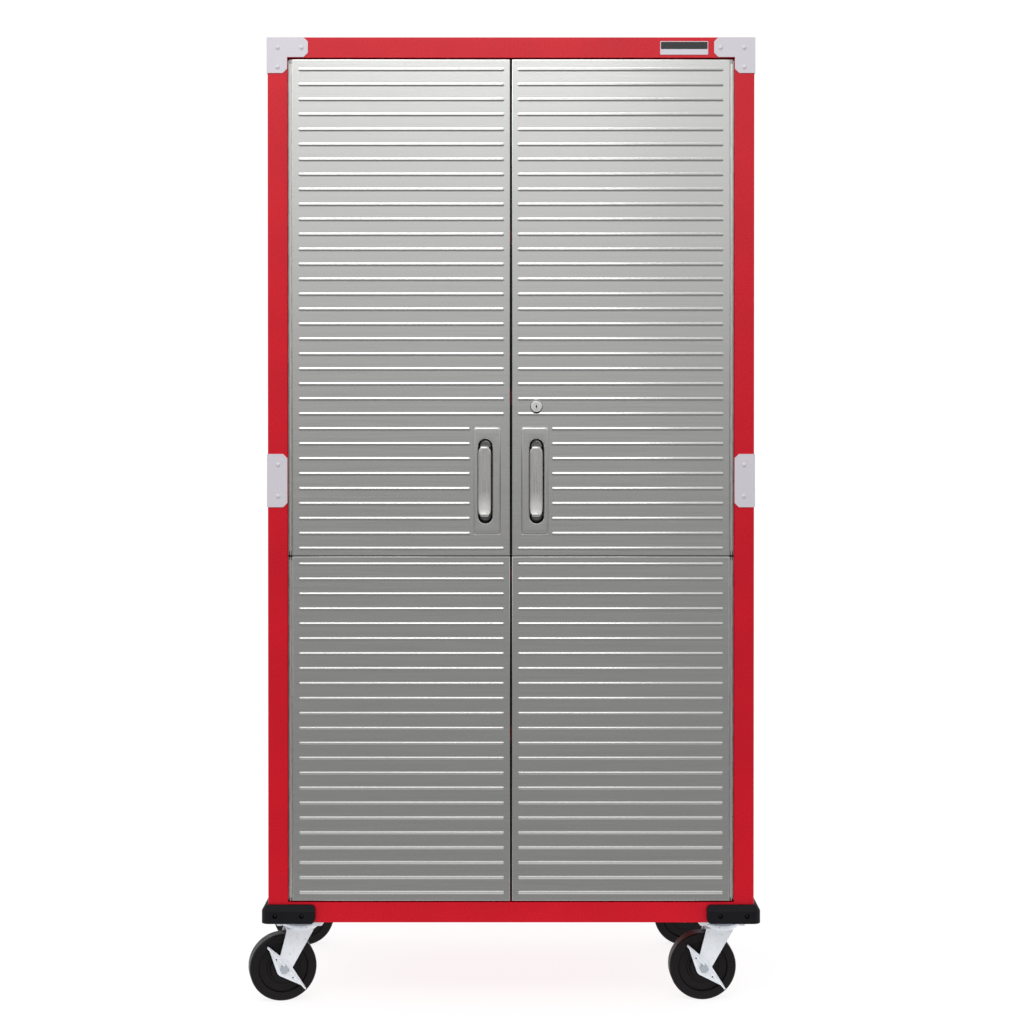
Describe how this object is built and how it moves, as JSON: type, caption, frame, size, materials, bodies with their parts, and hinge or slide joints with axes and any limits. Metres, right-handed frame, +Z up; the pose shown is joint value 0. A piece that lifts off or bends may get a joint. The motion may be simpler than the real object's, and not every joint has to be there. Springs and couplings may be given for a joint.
{
  "type": "rolling storage cabinet",
  "caption": "Tall rolling storage cabinet: red folded steel case, ribbed stainless double doors, recessed pulls, cam lock, shelves inside and swivel casters with foot brakes.",
  "frame": {"origin": "on the floor under the middle of the case", "axes": "+Z up, front with the doors towards -Y, +X to the right of someone facing the doors"},
  "size_m": [0.9692, 0.4912, 1.8208],
  "materials": {
    "case_red": "fine textured red powder coat",
    "door_steel": "stainless sheet with fine horizontal brushing",
    "plate_silver": "smooth pale silver paint",
    "bumper_black": "matt moulded rubber",
    "caster_zinc": "bright zinc plate",
    "hinge_steel": "plain bright steel",
    "pull_chrome": "polished nickel or chrome plate",
    "wheel_black": "matt black moulding",
    "catch_black": "matt black plastic"
  },
  "bodies": {
    "cabinet": {"base_panel": "case_red", "base_channels": "caster_zinc", "top_panel": "case_red", "lower_left_side_panel": "case_red", "lower_right_side_panel": "case_red", "upper_left_side_panel": "case_red", "upper_right_side_panel": "case_red", "lower_back_panel": "case_red", "upper_back_panel": "case_red", "corner_plates": "plate_silver", "joint_plates": "plate_silver", "corner_bumpers": "bumper_black", "frame_screws": "hinge_steel", "shelf_1": "case_red", "shelf_2": "case_red", "shelf_3": "case_red", "shelf_4": "case_red", "shelf_clips": "caster_zinc", "hinge_frame_leaves": "hinge_steel", "hinge_pins": "hinge_steel", "magnetic_catches": "catch_black", "caster_plates": "caster_zinc", "caster_bolts": "caster_zinc"},
    "left_door": {"left_upper_door_skin": "door_steel", "left_lower_door_skin": "door_steel", "left_upper_door_liner": "case_red", "left_lower_door_liner": "case_red", "left_hinge_leaves": "hinge_steel", "left_pull_cup": "pull_chrome", "left_pull_bar": "pull_chrome", "left_door_splice": "case_red", "bolt_guides": "caster_zinc"},
    "right_door": {"right_upper_door_skin": "door_steel", "right_lower_door_skin": "door_steel", "right_upper_door_liner": "case_red", "right_lower_door_liner": "case_red", "right_hinge_leaves": "hinge_steel", "right_pull_cup": "pull_chrome", "right_pull_bar": "pull_chrome", "right_door_splice": "case_red", "lock_housing": "pull_chrome"},
    "lock": {"lock_plug": "pull_chrome", "lock_cam": "caster_zinc"},
    "left_top_bolt": {"left_top_bolt": "caster_zinc"},
    "left_bottom_bolt": {"left_bottom_bolt": "caster_zinc"},
    "front_left_caster": {"front_left_fork": "caster_zinc", "front_left_axle": "caster_zinc"},
    "front_left_wheel": {"front_left_wheel": "wheel_black"},
    "front_right_caster": {"front_right_fork": "caster_zinc", "front_right_axle": "caster_zinc"},
    "front_right_wheel": {"front_right_wheel": "wheel_black"},
    "rear_left_caster": {"rear_left_fork": "caster_zinc", "rear_left_axle": "caster_zinc"},
    "rear_left_wheel": {"rear_left_wheel": "wheel_black"},
    "rear_right_caster": {"rear_right_fork": "caster_zinc", "rear_right_axle": "caster_zinc"},
    "rear_right_wheel": {"rear_right_wheel": "wheel_black"},
    "front_left_brake": {"front_left_brake_lever": "caster_zinc"},
    "front_right_brake": {"front_right_brake_lever": "caster_zinc"}
  },
  "joints": [
    {"name": "left_door_hinge", "type": "hinge", "parent": "cabinet", "child": "left_door", "pos_m": [-0.41455, -0.2286, 1], "axis": [0, 0, -1], "range_deg": [0, 150]},
    {"name": "right_door_hinge", "type": "hinge", "parent": "cabinet", "child": "right_door", "pos_m": [0.41455, -0.2286, 1], "axis": [0, 0, 1], "range_deg": [0, 150]},
    {"name": "lock_turn", "type": "hinge", "parent": "right_door", "child": "lock", "pos_m": [0.04775, -0.2286, 1.1282], "axis": [0, 1, 0], "range_deg": [0, 90]},
    {"name": "left_top_bolt_slide", "type": "slide", "parent": "left_door", "child": "left_top_bolt", "axis": [0, 0, 1], "range_m": [0, 0.012]},
    {"name": "left_bottom_bolt_slide", "type": "slide", "parent": "left_door", "child": "left_bottom_bolt", "axis": [0, 0, -1], "range_m": [0, 0.012]},
    {"name": "front_left_swivel", "type": "hinge", "parent": "cabinet", "child": "front_left_caster", "pos_m": [-0.4005, -0.178, 0.14], "axis": [0, 0, 1], "continuous": true},
    {"name": "front_left_wheel_spin", "type": "hinge", "parent": "front_left_caster", "child": "front_left_wheel", "pos_m": [-0.43543, -0.18671, 0.0635], "axis": [-0.2419, 0.9703, 0], "continuous": true},
    {"name": "front_left_brake_lever", "type": "hinge", "parent": "front_left_caster", "child": "front_left_brake", "pos_m": [-0.43543, -0.18671, 0.0635], "axis": [-0.2419, 0.9703, 0], "range_deg": [0, 30]},
    {"name": "front_right_swivel", "type": "hinge", "parent": "cabinet", "child": "front_right_caster", "pos_m": [0.4005, -0.178, 0.14], "axis": [0, 0, 1], "continuous": true},
    {"name": "front_right_wheel_spin", "type": "hinge", "parent": "front_right_caster", "child": "front_right_wheel", "pos_m": [0.36452, -0.17926, 0.0635], "axis": [-0.0349, 0.9994, 0], "continuous": true},
    {"name": "front_right_brake_lever", "type": "hinge", "parent": "front_right_caster", "child": "front_right_brake", "pos_m": [0.36452, -0.17926, 0.0635], "axis": [-0.0349, 0.9994, 0], "range_deg": [0, 30]},
    {"name": "rear_left_swivel", "type": "hinge", "parent": "cabinet", "child": "rear_left_caster", "pos_m": [-0.4005, 0.178, 0.14], "axis": [0, 0, 1], "continuous": true},
    {"name": "rear_left_wheel_spin", "type": "hinge", "parent": "rear_left_caster", "child": "rear_left_wheel", "pos_m": [-0.4365, 0.178, 0.0635], "axis": [0, 1, 0], "continuous": true},
    {"name": "rear_right_swivel", "type": "hinge", "parent": "cabinet", "child": "rear_right_caster", "pos_m": [0.4005, 0.178, 0.14], "axis": [0, 0, 1], "continuous": true},
    {"name": "rear_right_wheel_spin", "type": "hinge", "parent": "rear_right_caster", "child": "rear_right_wheel", "pos_m": [0.3645, 0.178, 0.0635], "axis": [0, 1, 0], "continuous": true}
  ]
}
